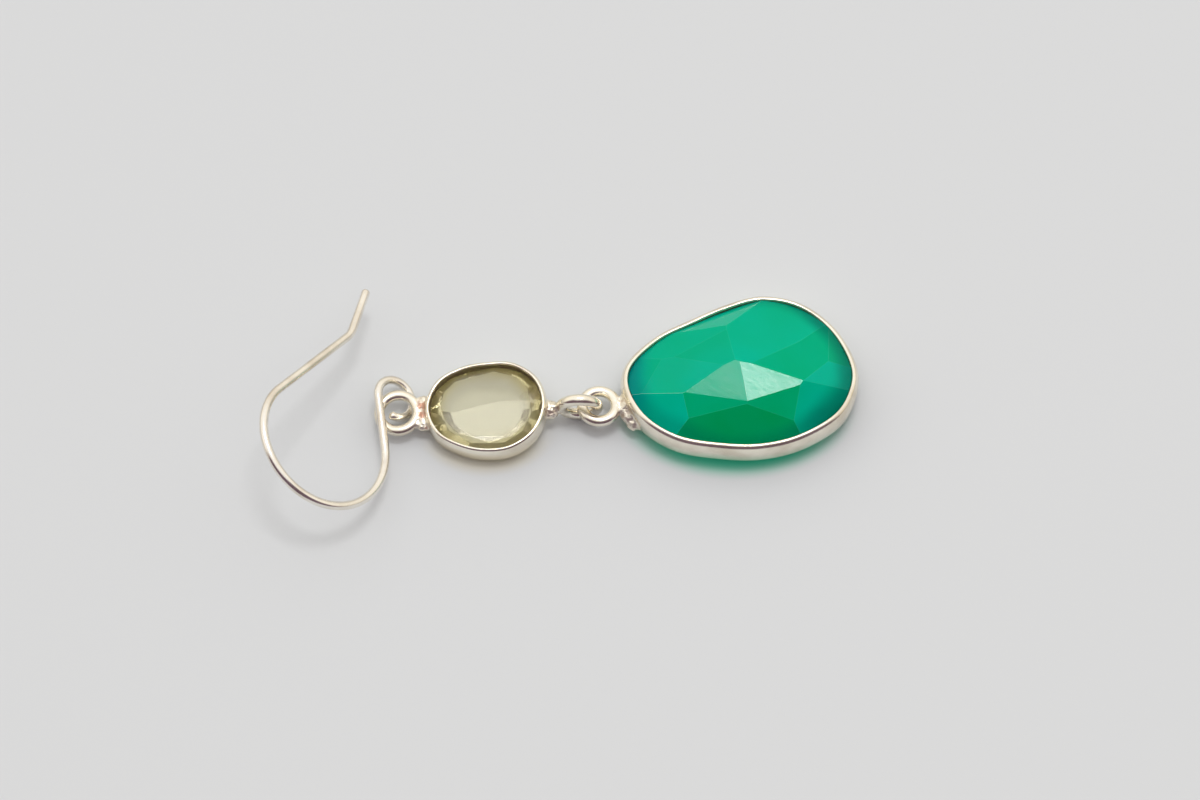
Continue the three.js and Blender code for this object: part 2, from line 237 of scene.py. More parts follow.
room = bpy.data.worlds.new("room")
room.use_nodes = True
bpy.context.scene.world = room
tree = room.node_tree
heading = add_node(tree, "ShaderNodeTexCoord", output="Generated")
upward = axis_of(tree, heading, "Z")
walls = add_node(tree, "ShaderNodeValToRGB", {"ramp": ROOM}, [upward])
in_front = smooth_step(tree, 0.0 - axis_of(tree, heading, "Y"), *SHADE_START)
below_lamp = 1.0 - smooth_step(tree, upward, *SHADE_TOP)
sky = mix_colour(tree, in_front * below_lamp, walls, FRONT_SHADE)
feed(tree, tree.nodes["Background"], "Color", sky)
feed(tree, tree.nodes["Background"], "Strength", 1.0)

# The camera: it looks down at 62 degrees from straight in front, as the photograph does,
# through a long lens.

LOOK_AT = Vector((0.002827, 0.001802, 0))
CAMERA_DISTANCE = 0.2688
CAMERA_ELEVATION = math.radians(62)
CAMERA_LENS = 100
SENSOR_WIDTH = 36
NEAREST_SEEN = 0.01
FARTHEST_SEEN = 10

camera_data = bpy.data.cameras.new("camera")
camera_data.lens = CAMERA_LENS
camera_data.sensor_width = SENSOR_WIDTH
camera_data.clip_start = NEAREST_SEEN
camera_data.clip_end = FARTHEST_SEEN
camera = bpy.data.objects.new("camera", camera_data)
back = Vector((0, -math.cos(CAMERA_ELEVATION), math.sin(CAMERA_ELEVATION)))
camera.location = LOOK_AT + CAMERA_DISTANCE * back
camera.rotation_euler = (-back).to_track_quat("-Z", "Y").to_euler()
bpy.context.scene.collection.objects.link(camera)
bpy.context.scene.camera = camera
bpy.context.scene.view_settings.view_transform = "Standard"

# The ear hook: one length of round silver wire, bent cold round a rod into an arch, with its
# lower end turned into a loop through the flat ring, and polished bright all over. Its sizes
# are millimetres, as in every section below, and each finished mesh is scaled to metres.

HOOK_WIRE = 0.7
HOOK_SIDES = 28
WIRE_STEP = 0.08
TAIL_TIP = 0.22
# The least length of a tip, and the least share of the wire's width squared at its very end
NO_TIP = 0.0001
TIP_END = 0.04
ARCH_RADIUS = 5.65
ARCH_TAIL_RADIUS = 4.9
ARCH_TAIL_TURN = math.radians(60)
TAIL_STRAIGHT = 8.2
TAIL_BEND_RADIUS = 2.4
TAIL_FLARE_ANGLE = math.radians(26)
TAIL_FLARE_LENGTH = 4.1
LOOP_RADIUS = 1.63
LOOP_AHEAD = 8.41
LOOP_ASIDE = -0.98
LOOP_SWEEP = math.radians(297)
LOOP_CENTRE = (-13.611, 1.216, 1.334)
HOOK_SLOPE = math.radians(36.7)
HOOK_HEADING = math.radians(47.7)
SILVER = (0.9, 0.86, 0.79, 1)
SILVER_DULL = (0.74, 0.67, 0.58, 1)
SILVER_ROUGHNESS = 0.12
HAZE_SCALE = 380.0
SCRATCH_SCALE = 1500.0
SCRATCH_LENGTHS = (9.0, 1.0, 3.0)
SCRATCH_TURN = (0.3, 0.5, 0.9)
SILVER_BUMP = 0.4
SILVER_RELIEF = 0.00002
METRES = Matrix.Scale(0.001, 4)


def silver_skin(tree, place, bright, dull):
    """The colour, roughness and height of silver with a haze and fine scratches."""
    haze = cloud(tree, place, HAZE_SCALE, 3.0)
    scratched = measured(tree, place, (0, 0, 0), SCRATCH_LENGTHS, SCRATCH_TURN)
    scratches = cloud(tree, scratched, SCRATCH_SCALE)
    colour = mix_colour(tree, smooth_step(tree, haze, 0.4, 0.75), bright, dull)
    roughness = SILVER_ROUGHNESS + haze * 0.12 + scratches * 0.05
    return colour, roughness, scratches * 0.3


def new_tree(name, inputs):
    """A Geometry Nodes tree with named inputs, and those inputs as sockets."""
    tree = bpy.data.node_groups.new(name, "GeometryNodeTree")
    for label, kind in inputs.items():
        tree.interface.new_socket(label, in_out="INPUT", socket_type=f"NodeSocket{kind}")
    tree.interface.new_socket("Mesh", in_out="OUTPUT", socket_type="NodeSocketGeometry")
    given = tree.nodes.new("NodeGroupInput")
    return tree, {socket.name: Socket(tree, socket) for socket in given.outputs if socket.name}


def end_tree(tree, shape, metal):
    """Ends a tree with its shape made real and given its metal."""
    shape = add_node(tree, "GeometryNodeRealizeInstances", None, [shape])
    values = {"Geometry": shape, "Material": metal}
    shape = add_node(tree, "GeometryNodeSetMaterial", None, values)
    end = tree.nodes.new("NodeGroupOutput")
    tree.links.new(shape.socket, end.inputs["Mesh"])


def new_wire_tree():
    """A round wire along a path, with open ends rounded off over the length of the tip."""
    inputs = {
        "Path": "Geometry",
        "Wire": "Float",
        "Sides": "Int",
        "Step": "Float",
        "Tip": "Float",
        "Metal": "Material",
    }
    tree, given = new_tree("wire_along_path", inputs)
    path = add_node(tree, "GeometryNodeMeshToCurve", None, [given["Path"]])
    path = add_node(
        tree,
        "GeometryNodeResampleCurve",
        {"mode": "LENGTH"},
        {"Curve": path, "Length": given["Step"]},
    )
    along = add_node(tree, "GeometryNodeSplineParameter", output="Length")
    whole = add_node(tree, "GeometryNodeSplineLength")
    from_end = along.maths("MINIMUM", along, whole - along)
    has_tip = along.maths("GREATER_THAN", given["Tip"], NO_TIP)
    near = along.maths("MINIMUM", from_end / along.maths("MAXIMUM", given["Tip"], NO_TIP), 1.0)
    near = (1.0 - near) * has_tip
    share = along.maths("SQRT", along.maths("MAXIMUM", 1.0 - near * near, TIP_END))
    circle = add_node(
        tree,
        "GeometryNodeCurvePrimitiveCircle",
        None,
        {"Resolution": given["Sides"], "Radius": given["Wire"] * 0.5},
    )
    wire = add_node(
        tree,
        "GeometryNodeCurveToMesh",
        None,
        {"Curve": path, "Profile Curve": circle, "Scale": share, "Fill Caps": True},
    )
    wire = add_node(tree, "GeometryNodeSetShadeSmooth", None, {"Geometry": wire})
    end_tree(tree, wire, given["Metal"])
    return tree


def holder_of(name, mesh):
    """An object that holds a mesh while its modifiers are made."""
    holder = bpy.data.objects.new(name, mesh)
    bpy.context.scene.collection.objects.link(holder)
    return holder


def finished_mesh(holder):
    """An object's mesh with its modifiers applied. The object itself is removed."""
    graph = bpy.context.evaluated_depsgraph_get()
    mesh = bpy.data.meshes.new_from_object(holder.evaluated_get(graph))
    bpy.data.objects.remove(holder)
    return mesh


def made_by(tree, mesh, **values):
    """The mesh that a tree makes of another mesh, with the tree's own inputs set by name."""
    holder = holder_of("made", mesh)
    modifier = holder.modifiers.new("tree", "NODES")
    modifier.node_group = tree
    for item in tree.interface.items_tree:
        if item.in_out == "INPUT" and item.name in values:
            modifier[item.identifier] = values[item.name]
    return finished_mesh(holder)


def wire_mesh(points, closed, **values):
    """A round wire through the points."""
    count = len(points)
    path = bpy.data.meshes.new("path")
    last = count if closed else count - 1
    path.from_pydata(points, [(i, (i + 1) % count) for i in range(last)], [])
    return made_by(wire_tree, path, **values)


def add_piece(name, mesh, node, material):
    """Puts a finished mesh in the scene, in the place of its solid."""
    mesh.name = name
    mesh.materials.clear()
    mesh.materials.append(material)
    piece = bpy.data.objects.new(name, mesh)
    bpy.context.scene.collection.objects.link(piece)
    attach(piece, "root")
    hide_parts(node)


def arc(centre_x, centre_y, radius, start, end, steps=48):
    angles = [start + (end - start) * i / steps for i in range(steps + 1)]
    return [
        (centre_x + radius * math.cos(a), centre_y + radius * math.sin(a), 0) for a in angles
    ]


def hook_path():
    """The wire's middle line in its own plane, from the tail's tip to the end of the loop."""
    tail_angle = math.pi / 2 + ARCH_TAIL_TURN
    shift_x = (ARCH_RADIUS - ARCH_TAIL_RADIUS) * math.cos(tail_angle)
    shift_y = (ARCH_RADIUS - ARCH_TAIL_RADIUS) * math.sin(tail_angle)
    tail_y = shift_y + ARCH_TAIL_RADIUS
    flare = TAIL_FLARE_ANGLE
    bend = arc(
        TAIL_STRAIGHT,
        tail_y + TAIL_BEND_RADIUS,
        TAIL_BEND_RADIUS,
        flare - math.pi / 2,
        -math.pi / 2,
    )
    tip_x = bend[0][0] + TAIL_FLARE_LENGTH * math.cos(flare)
    tip_y = bend[0][1] + TAIL_FLARE_LENGTH * math.sin(flare)
    span = math.hypot(LOOP_AHEAD, LOOP_ASIDE)
    lean = math.atan2(LOOP_ASIDE, LOOP_AHEAD)
    arch_end = 2 * math.pi + lean - math.acos((ARCH_RADIUS + LOOP_RADIUS) / span)
    loop_start = arch_end - math.pi
    return (
        [(tip_x, tip_y, 0)]
        + bend
        + arc(shift_x, shift_y, ARCH_TAIL_RADIUS, math.pi / 2, tail_angle)[:-1]
        + arc(0, 0, ARCH_RADIUS, tail_angle, arch_end, 120)
        + arc(LOOP_AHEAD, LOOP_ASIDE, LOOP_RADIUS, loop_start, loop_start - LOOP_SWEEP, 90)
    )


bright_silver, tree, shader = new_material("bright_silver")
colour, roughness, height = silver_skin(tree, object_place(tree), SILVER, SILVER_DULL)
feed(tree, shader, "Base Color", colour)
feed(tree, shader, "Metallic", 1.0)
feed(tree, shader, "Roughness", roughness)
add_bump(tree, shader, height, SILVER_BUMP, SILVER_RELIEF)

wire_tree = new_wire_tree()
hook_mesh = wire_mesh(
    hook_path(),
    False,
    Wire=HOOK_WIRE,
    Sides=HOOK_SIDES,
    Step=WIRE_STEP,
    Tip=TAIL_TIP,
    Metal=bright_silver,
)
hook_mesh.transform(
    METRES
    @ Matrix.Translation(LOOP_CENTRE)
    @ Matrix.Rotation(HOOK_SLOPE, 4, "Y")
    @ Matrix.Rotation(HOOK_HEADING, 4, "Z")
    @ Matrix.Translation((-LOOP_AHEAD, -LOOP_ASIDE, 0))
)
add_piece("hook_wire", hook_mesh, "ear_hook", bright_silver)

# The small setting: a strip of silver bent round the pale stone and burnished over it, with a
# flat ring for the hook and an upright link, each soldered on and left rough at the joint. The
# inside of its wall is painted dark as shade, and it is stained with copper where the flame
# was.

SMALL_CENTRE = (-6.282, -0.003, 1.65)
SMALL_ROLL = math.radians(5.5)
SMALL_PITCH = math.radians(2.4)
SMALL_HALF_LENGTH = 4.55
SMALL_HALF_WIDTH = 3.66
SMALL_WALL = {"bottom": -0.95, "top": 0.95, "wall": 0.36, "ledge": 0.3, "ledge_height": 0.5}
# Knots of the outline, in half lengths and half widths
SMALL_OUTLINE = [
    (0.998, 0.03),
    (0.86, 0.613),
    (0.449, 0.961),
    (0.0, 0.977),
    (-0.42, 0.875),
    (-0.82, 0.575),
    (-1.0, 0.0),
    (-0.813, -0.579),
    (-0.412, -0.881),
    (0.0, -0.994),
    (0.435, -0.93),
    (0.816, -0.582),
]
# Shares of the wall outwards and the ledge inwards, then of the wall's and the ledge's height
WALL_SECTION = [
    (-0.12, 0.0, 0.93, 0),
    (-0.02, 0.0, 0.985, 0),
    (0.2, 0.0, 1.0, 0),
    (0.5, 0.0, 0.975, 0),
    (0.82, 0.0, 0.89, 0),
    (1.02, 0.0, 0.76, 0),
    (1.1, 0.0, 0.58, 0),
    (1.1, 0.0, 0.3, 0),
    (1.05, 0.0, 0.08, 0),
    (0.75, 0.0, 0.0, 0),
    (0.0, 0.8, 0.0, 0),
    (0.0, 1.0, 0.0, 0.5),
    (0.0, 0.7, 0.0, 1),
    (0.0, 0.0, 0.0, 1),
    (0.0, 0.0, 0.7, 0),
]
# Each ring or link: radius, wire and middle, and whether it stands on its edge
HOOK_RING = {"radius": 1.53, "wire": 0.85, "middle": (-7.035, -0.12, 0), "upright": False}
LINK = {"radius": 1.43, "wire": 0.93, "middle": (7.465, 0.2, -0.05), "upright": True}
# Each drop of solder: middle, half sizes, and how far copper shows in it
SMALL_SOLDER = [
    ((-5.0, -0.1, 0), (0.62, 1.1, 0.46), 1.0),
    ((-5.0, -0.95, -0.05), (0.66, 0.75, 0.42), 0.9),
    ((-5.0, 0.8, 0), (0.55, 0.55, 0.4), 0.3),
    ((5.0, 0.15, -0.08), (0.9, 0.65, 0.5), 0.3),
    ((5.1, -0.2, -0.2), (0.75, 0.55, 0.42), 0.15),
]
SMALL_SEED = 4
SMALL_STEPS = 300
STEPS_BETWEEN_KNOTS = 40
RING_SIDES = 36
RING_STEP = 0.12
DROP_ROUNDNESS = 4
GRAIN = 0.06
GRAIN_SIZES = (0.5, 1.5)
GRAINS_PER_AREA = 6.0
SMALL_VOXEL = 0.051
SMOOTH_SHARE = 0.5
SKIN_ROUNDS = 4
FILLET_ROUNDS = 60
LEAST_SOLDER = 0.02
# Solder fades out to this many times a drop's size
SOLDER_REACH = 1.5
LUMP_HEIGHT = 0.05
LUMPS_PER_MM = 3.5
# The painted shade inside the wall fades out over these ways outwards and below the top
INSIDE_EDGE = 0.06
INSIDE_TOP = (0.2, 0.1)
AGED_SILVER = (0.93, 0.88, 0.76, 1)
AGED_SILVER_DULL = (0.73, 0.66, 0.54, 1)
COPPER_STAIN = (0.5, 0.22, 0.14, 1)
SOLDER_PIT = (0.06, 0.04, 0.045, 1)
GAP_SHADE = (0.2, 0.17, 0.08, 1)
GAP_SHADE_BROWN = (0.13, 0.07, 0.04, 1)
GRIT_SCALE = 4600.0
STAIN_SCALE = 1300.0


def mesh_value(tree, name):
    """A value that the mesh itself holds for each point or face."""
    return add_node(tree, "ShaderNodeAttribute", {"attribute_name": name}, output="Fac")


def outline_points(knots, half_length, half_width, steps):
    """Points evenly along a smooth closed line through the knots, each with its way out."""
    spots = [Vector((x * half_length, y * half_width, 0)) for x, y in knots]
    count = len(spots)
    fine = []
    for i in range(count):
        p0, p1, p2, p3 = (spots[(i + k) % count] for k in (-1, 0, 1, 2))
        t1 = (p1 - p0).length ** 0.5
        t2 = t1 + (p2 - p1).length ** 0.5
        t3 = t2 + (p3 - p2).length ** 0.5
        for k in range(STEPS_BETWEEN_KNOTS):
            t = t1 + (t2 - t1) * k / STEPS_BETWEEN_KNOTS
            a1 = p0.lerp(p1, t / t1)
            a2 = p1.lerp(p2, (t - t1) / (t2 - t1))
            a3 = p2.lerp(p3, (t - t2) / (t3 - t2))
            b1 = a1.lerp(a2, t / t2)
            b2 = a2.lerp(a3, (t - t1) / (t3 - t1))
            fine.append(b1.lerp(b2, (t - t1) / (t2 - t1)))
    fine.append(fine[0])
    lengths = np.cumsum([0] + [(b - a).length for a, b in zip(fine, fine[1:])])
    wanted = np.linspace(0, lengths[-1], steps, endpoint=False)
    xs = np.interp(wanted, lengths, [p.x for p in fine])
    ys = np.interp(wanted, lengths, [p.y for p in fine])
    points = [Vector((x, y, 0)) for x, y in zip(xs, ys)]
    result = []
    for i, point in enumerate(points):
        along = (points[(i + 1) % steps] - points[i - 1]).normalized()
        result.append((point, Vector((along.y, -along.x, 0))))
    return result


def cut_corners(section):
    """Rounds a closed section by cutting each corner off at a quarter of its sides."""
    rounded = []
    for here, following in zip(section, section[1:] + section[:1]):
        rounded.append(tuple(0.75 * a + 0.25 * b for a, b in zip(here, following)))
        rounded.append(tuple(0.25 * a + 0.75 * b for a, b in zip(here, following)))
    return rounded


def add_wall(shape, points, bottom, top, wall, ledge, ledge_height):
    """Adds a wall whose rounded section goes once round the outline."""
    section = [
        (wall * w - ledge * inward, bottom + (top - bottom) * rise + ledge_height * step)
        for w, inward, rise, step in WALL_SECTION
    ]
    section = cut_corners(cut_corners(section))
    rows = []
    for point, out in points:
        spots = [point + out * offset + Vector((0, 0, z)) for offset, z in section]
        rows.append([shape.verts.new(spot) for spot in spots])
    count = len(section)
    for row, following in zip(rows, rows[1:] + rows[:1]):
        for k in range(count):
            m = (k + 1) % count
            shape.faces.new((row[k], row[m], following[m], following[k]))


def add_ring(shape, radius, wire, middle, upright):
    """Adds a ring of round wire, flat or standing along the setting's length."""
    mesh = wire_mesh(
        arc(0, 0, radius, 0, 2 * math.pi, 96)[:-1],
        True,
        Wire=wire,
        Sides=RING_SIDES,
        Step=RING_STEP,
        Tip=0.0,
        Metal=aged_silver,
    )
    turn = Matrix.Rotation(math.pi / 2, 4, "X") if upright else Matrix.Identity(4)
    mesh.transform(Matrix.Translation(middle) @ turn)
    shape.from_mesh(mesh)


def new_grain_tree():
    """Small grains scattered over the drops of solder and sunk half into them."""
    inputs = {
        "Drops": "Geometry",
        "Grain": "Float",
        "Density": "Float",
        "Seed": "Int",
        "Metal": "Material",
    }
    tree, given = new_tree("solder_grains", inputs)
    spots = add_node(
        tree,
        "GeometryNodeDistributePointsOnFaces",
        None,
        {"Mesh": given["Drops"], "Density": given["Density"], "Seed": given["Seed"]},
    )
    ball = add_node(
        tree, "GeometryNodeMeshIcoSphere", None, {"Radius": given["Grain"], "Subdivisions": 2}
    )
    sizes = add_node(
        tree,
        "FunctionNodeRandomValue",
        {"data_type": "FLOAT"},
        {"Min": GRAIN_SIZES[0], "Max": GRAIN_SIZES[1], "Seed": given["Seed"]},
        "Value",
    )
    grains = add_node(
        tree,
        "GeometryNodeInstanceOnPoints",
        None,
        {"Points": spots, "Instance": ball, "Scale": sizes},
    )
    joined = tree.nodes.new("GeometryNodeJoinGeometry")
    tree.links.new(grains.socket, joined.inputs[0])
    tree.links.new(given["Drops"].socket, joined.inputs[0])
    end_tree(tree, Socket(tree, joined.outputs[0]), given["Metal"])
    return tree


def add_solder(shape, drops, seed):
    """Adds drops of solder with grains all over them."""
    balls = bmesh.new()
    for middle, half_sizes, _ in drops:
        place = Matrix.Translation(middle) @ Matrix.Diagonal((*half_sizes, 1))
        bmesh.ops.create_icosphere(
            balls, subdivisions=DROP_ROUNDNESS, radius=1, matrix=place
        )
    mesh = bpy.data.meshes.new("drops")
    balls.to_mesh(mesh)
    balls.free()
    mesh = made_by(
        grain_tree,
        mesh,
        Grain=GRAIN,
        Density=GRAINS_PER_AREA,
        Seed=seed,
        Metal=aged_silver,
    )
    shape.from_mesh(mesh)


def smooth_rounds(holder, rounds):
    smooth = holder.modifiers.new("smooth", "SMOOTH")
    smooth.factor = SMOOTH_SHARE
    smooth.iterations = rounds
    return smooth


def fused(shape, voxel):
    """Melts overlapping solids into one skin and smooths it."""
    mesh = bpy.data.meshes.new("fused")
    shape.to_mesh(mesh)
    shape.free()
    holder = holder_of("fused", mesh)
    melt = holder.modifiers.new("melt", "REMESH")
    melt.mode = "VOXEL"
    melt.voxel_size = voxel
    melt.use_smooth_shade = True
    smooth_rounds(holder, SKIN_ROUNDS)
    return finished_mesh(holder)


def filleted(mesh, weights):
    """Smooths a mesh much more where the weights are high."""
    holder = holder_of("filleted", mesh)
    group = holder.vertex_groups.new(name="fillet")
    for i in np.nonzero(weights > LEAST_SOLDER)[0]:
        group.add([int(i)], float(weights[i]), "REPLACE")
    smooth_rounds(holder, FILLET_ROUNDS).vertex_group = "fillet"
    return finished_mesh(holder)


def set_value(mesh, name, values, domain="POINT"):
    attribute = mesh.attributes.new(name, "FLOAT", domain)
    attribute.data.foreach_set("value", np.asarray(values, np.float32))


def eased(values, low, high):
    """A smooth rise from 0 to 1 between two values."""
    share = np.clip((values - low) / (high - low), 0, 1)
    return share * share * (3 - 2 * share)


def vectors_of(data, name):
    values = np.empty(len(data) * 3, np.float32)
    data.foreach_get(name, values)
    return values.reshape(-1, 3)


def nearness(spots, drops):
    """How far each spot belongs to solder, and how far copper shows there."""
    solder = np.zeros(len(spots))
    copper = np.zeros(len(spots))
    for middle, half_sizes, redness in drops:
        away = np.linalg.norm((spots - np.array(middle)) / np.array(half_sizes), axis=1)
        near = 1 - eased(away, 1.0, SOLDER_REACH)
        solder = np.maximum(solder, near)
        copper = np.maximum(copper, near * redness)
    return solder, copper


def insideness(spots, points, top):
    """How far each spot is inside the wall and below its top."""
    lookup = kdtree.KDTree(len(points))
    for i, (point, _) in enumerate(points):
        lookup.insert(point, i)
    lookup.balance()
    flat = np.array([point[:2] for point, _ in points])
    ways = np.array([out[:2] for _, out in points])
    nearest = np.array([lookup.find((x, y, 0))[1] for x, y, _ in spots])
    offset = ((spots[:, :2] - flat[nearest]) * ways[nearest]).sum(axis=1)
    low, high = INSIDE_TOP
    below = 1 - eased(spots[:, 2], top - low, top - high)
    return (1 - eased(offset, 0.0, INSIDE_EDGE)) * below


def aged_setting(mesh, drops, points, top):
    """Rounds and roughens the solder, and writes where the mesh is solder, where copper
    shows and where it is inside the wall."""
    mesh = filleted(mesh, nearness(vectors_of(mesh.vertices, "co"), drops)[0])
    spots = vectors_of(mesh.vertices, "co")
    solder, copper = nearness(spots, drops)
    inside = insideness(spots, points, top)
    normals = vectors_of(mesh.vertex_normals, "vector")
    for i in np.nonzero(solder > LEAST_SOLDER)[0]:
        lump = noise.fractal(Vector(spots[i]) * LUMPS_PER_MM, 0.8, 2.0, 3)
        spots[i] += normals[i] * (lump * LUMP_HEIGHT * solder[i])
    mesh.vertices.foreach_set("co", spots.ravel())
    set_value(mesh, "solder", solder)
    set_value(mesh, "copper", copper)
    set_value(mesh, "inside", inside)
    return mesh


aged_silver, tree, shader = new_material("aged_silver")
place = object_place(tree)
colour, roughness, height = silver_skin(tree, place, AGED_SILVER, AGED_SILVER_DULL)
solder = mesh_value(tree, "solder")
inside = mesh_value(tree, "inside")
grit = cloud(tree, place, GRIT_SCALE, 4.0, 0.65)
stain = cloud(tree, place, STAIN_SCALE, 3.0, 0.6)
copper = smooth_step(tree, stain, 0.48, 0.6) * mesh_value(tree, "copper")
pits = smooth_step(tree, grit, 0.6, 0.68) * solder
# Painted shade: the inside of the wall by the stone is darkened olive and brown, with grit,
# and made duller and rougher
gap_shade = mix_colour(tree, smooth_step(tree, stain, 0.4, 0.6), GAP_SHADE, GAP_SHADE_BROWN)
colour = mix_colour(tree, copper * 0.85, colour, COPPER_STAIN)
colour = mix_colour(tree, pits * 0.75, colour, SOLDER_PIT)
colour = mix_colour(tree, inside * 0.9, colour, gap_shade)
height = height + grit * solder * 2.4 + grit * inside * 2.0
feed(tree, shader, "Base Color", colour)
feed(tree, shader, "Metallic", 1.0 - inside * 0.6)
feed(tree, shader, "Roughness", roughness + solder * 0.16 + inside * 0.3)
add_bump(tree, shader, height, SILVER_BUMP, SILVER_RELIEF)

grain_tree = new_grain_tree()
small_points = outline_points(
    SMALL_OUTLINE, SMALL_HALF_LENGTH, SMALL_HALF_WIDTH, SMALL_STEPS
)
small_tilt = Matrix.Rotation(SMALL_ROLL, 4, "X") @ Matrix.Rotation(-SMALL_PITCH, 4, "Y")
small_shape = bmesh.new()
add_wall(small_shape, small_points, **SMALL_WALL)
add_ring(small_shape, **HOOK_RING)
add_ring(small_shape, **LINK)
add_solder(small_shape, SMALL_SOLDER, SMALL_SEED)
small_mesh = fused(small_shape, SMALL_VOXEL)
small_mesh = aged_setting(small_mesh, SMALL_SOLDER, small_points, SMALL_WALL["top"])
small_mesh.transform(METRES @ Matrix.Translation(SMALL_CENTRE) @ small_tilt)
add_piece("small_setting", small_mesh, "upper_setting", aged_silver)

# The pale stone: clear quartz with a hint of yellow, cut with a low ridged crown, facets
# round its rim and a faceted back that mirrors the silver wall it sits in. Its rim is painted
# olive as a painted reflection of the dark wall round it.

QUARTZ_TINT = (0.8, 0.79, 0.7, 1)
QUARTZ_RIM_REFLECTION = (0.74, 0.67, 0.36, 1)
QUARTZ_SHADOW = (0.9, 0.87, 0.72, 1)
QUARTZ_GLINT = (0.3, 0.29, 0.25, 1)
QUARTZ_CLEARNESS = 0.84
QUARTZ_WISPS = 500.0
QUARTZ_REFLECTION_BAND = (0.66, 0.92)
QUARTZ_EDGE = 0.03
STONE_INDEX = 1.54
SAME_POINT = 0.0005
SAME_FACET = math.radians(0.35)
LEAST_EDGE = math.radians(1)
# Faces of the crown point up more steeply than this
CROWN_RISE = 0.25


def cut_stone(node, edge_width):
    """A copy of the stone's solid with its crown's edges worn to narrow bevels, in metres."""
    shape = bmesh.new()
    shape.from_mesh(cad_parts[node].data)
    shape.transform(METRES.inverted())
    bmesh.ops.remove_doubles(shape, verts=shape.verts, dist=SAME_POINT)
    bmesh.ops.dissolve_limit(
        shape,
        angle_limit=SAME_FACET,
        verts=shape.verts,
        edges=shape.edges,
    )
    shape.normal_update()
    crown = [
        edge
        for edge in shape.edges
        if len(edge.link_faces) == 2
        and min(face.normal.z for face in edge.link_faces) > CROWN_RISE
        and edge.calc_face_angle(0) > LEAST_EDGE
    ]
    bmesh.ops.bevel(
        shape,
        geom=crown,
        offset=edge_width,
        offset_type="WIDTH",
        segments=1,
        profile=0.5,
        affect="EDGES",
        clamp_overlap=True,
    )
    shape.transform(METRES)
    shape.normal_update()
    mesh = bpy.data.meshes.new(node)
    shape.to_mesh(mesh)
    shape.free()
    mesh.shade_flat()
    return mesh


def stone_place(tree, place, centre, half_length, half_width):
    """A place seen from a stone's middle, in its half length and half width."""
    middle = tuple(0.001 * value for value in centre)
    return measured(tree, place, middle, (0.001 * half_length, 0.001 * half_width, 1))


quartz, tree, shader = new_material("pale_quartz")
place = object_place(tree)
local = stone_place(tree, place, SMALL_CENTRE, SMALL_HALF_LENGTH, SMALL_HALF_WIDTH)
wisps = cloud(tree, place, QUARTZ_WISPS, 3.0)
outward = distance_across(tree, local) + (wisps - 0.5) * 0.2
# Painted reflection: the colour turns olive toward the rim, for the wall seen in the rim
# facets
rim = smooth_step(tree, outward, *QUARTZ_REFLECTION_BAND)
feed(tree, shader, "Base Color", mix_colour(tree, rim, QUARTZ_TINT, QUARTZ_RIM_REFLECTION))
feed(tree, shader, "Roughness", 0.02 + wisps * 0.06)
feed(tree, shader, "IOR", STONE_INDEX)
feed(tree, shader, "Specular Tint", QUARTZ_GLINT)
feed(tree, shader, "Transmission Weight", QUARTZ_CLEARNESS)
clear = add_node(tree, "ShaderNodeBsdfTransparent", None, {"Color": QUARTZ_SHADOW})
shadow_ray = add_node(tree, "ShaderNodeLightPath", output="Is Shadow Ray")
glass = Socket(tree, shader.outputs["BSDF"])
either = add_node(tree, "ShaderNodeMixShader", None, [shadow_ray, glass, clear])
tree.links.new(either.socket, tree.nodes["Material Output"].inputs["Surface"])
add_piece("pale_stone", cut_stone("upper_stone", QUARTZ_EDGE), "upper_stone", quartz)

# The large setting: the same strip and ledge round the green stone, with a flat ring soldered
# to its left end and drops of solder left under the joint.

LARGE_CENTRE = (14.033, 2.896, 0)
LARGE_HALF_LENGTH = 8.93
LARGE_HALF_WIDTH = 6.59
LARGE_WALL = {"bottom": 0.85, "top": 3.02, "wall": 0.5, "ledge": 0.28, "ledge_height": 0.6}
LARGE_OUTLINE = [
    (1.004, 0.02),
    (0.838, 0.55),
    (0.537, 0.9),
    (0.2, 0.992),
    (-0.11, 0.868),
    (-0.42, 0.665),
    (-0.74, 0.42),
    (-0.985, 0.05),
    (-1.002, -0.22),
    (-0.86, -0.6),
    (-0.57, -0.88),
    (-0.164, -0.988),
    (0.165, -0.995),
    (0.501, -0.88),
    (0.838, -0.59),
    (0.965, -0.31),
]
LOWER_RING = {
    "radius": 1.35,
    "wire": 0.9,
    "middle": (-11.27, -2.57, 1.72),
    "upright": False,
}
LARGE_SOLDER = [
    ((-9.12, -2.4, 1.72), (0.75, 1.0, 0.55), 0.3),
    ((-8.95, -3.2, 1.45), (0.6, 0.75, 0.6), 0.1),
    ((-8.5, -3.8, 1.2), (0.6, 0.7, 0.6), 0.0),
]
LARGE_SEED = 9
LARGE_STEPS = 480
LARGE_VOXEL = 0.068

large_points = outline_points(
    LARGE_OUTLINE, LARGE_HALF_LENGTH, LARGE_HALF_WIDTH, LARGE_STEPS
)
large_shape = bmesh.new()
add_wall(large_shape, large_points, **LARGE_WALL)
add_ring(large_shape, **LOWER_RING)
add_solder(large_shape, LARGE_SOLDER, LARGE_SEED)
large_mesh = fused(large_shape, LARGE_VOXEL)
large_mesh = aged_setting(large_mesh, LARGE_SOLDER, large_points, LARGE_WALL["top"])
large_mesh.transform(METRES @ Matrix.Translation(LARGE_CENTRE))
add_piece("large_setting", large_mesh, "lower_setting", aged_silver)

# The green stone: cloudy green onyx, cut by hand with uneven wide facets that catch the
# light one by one, and a flat back that the jewel lies on. Each facet's light and shade is
# painted into its green, with painted shade round the rim and painted highlights on edges.

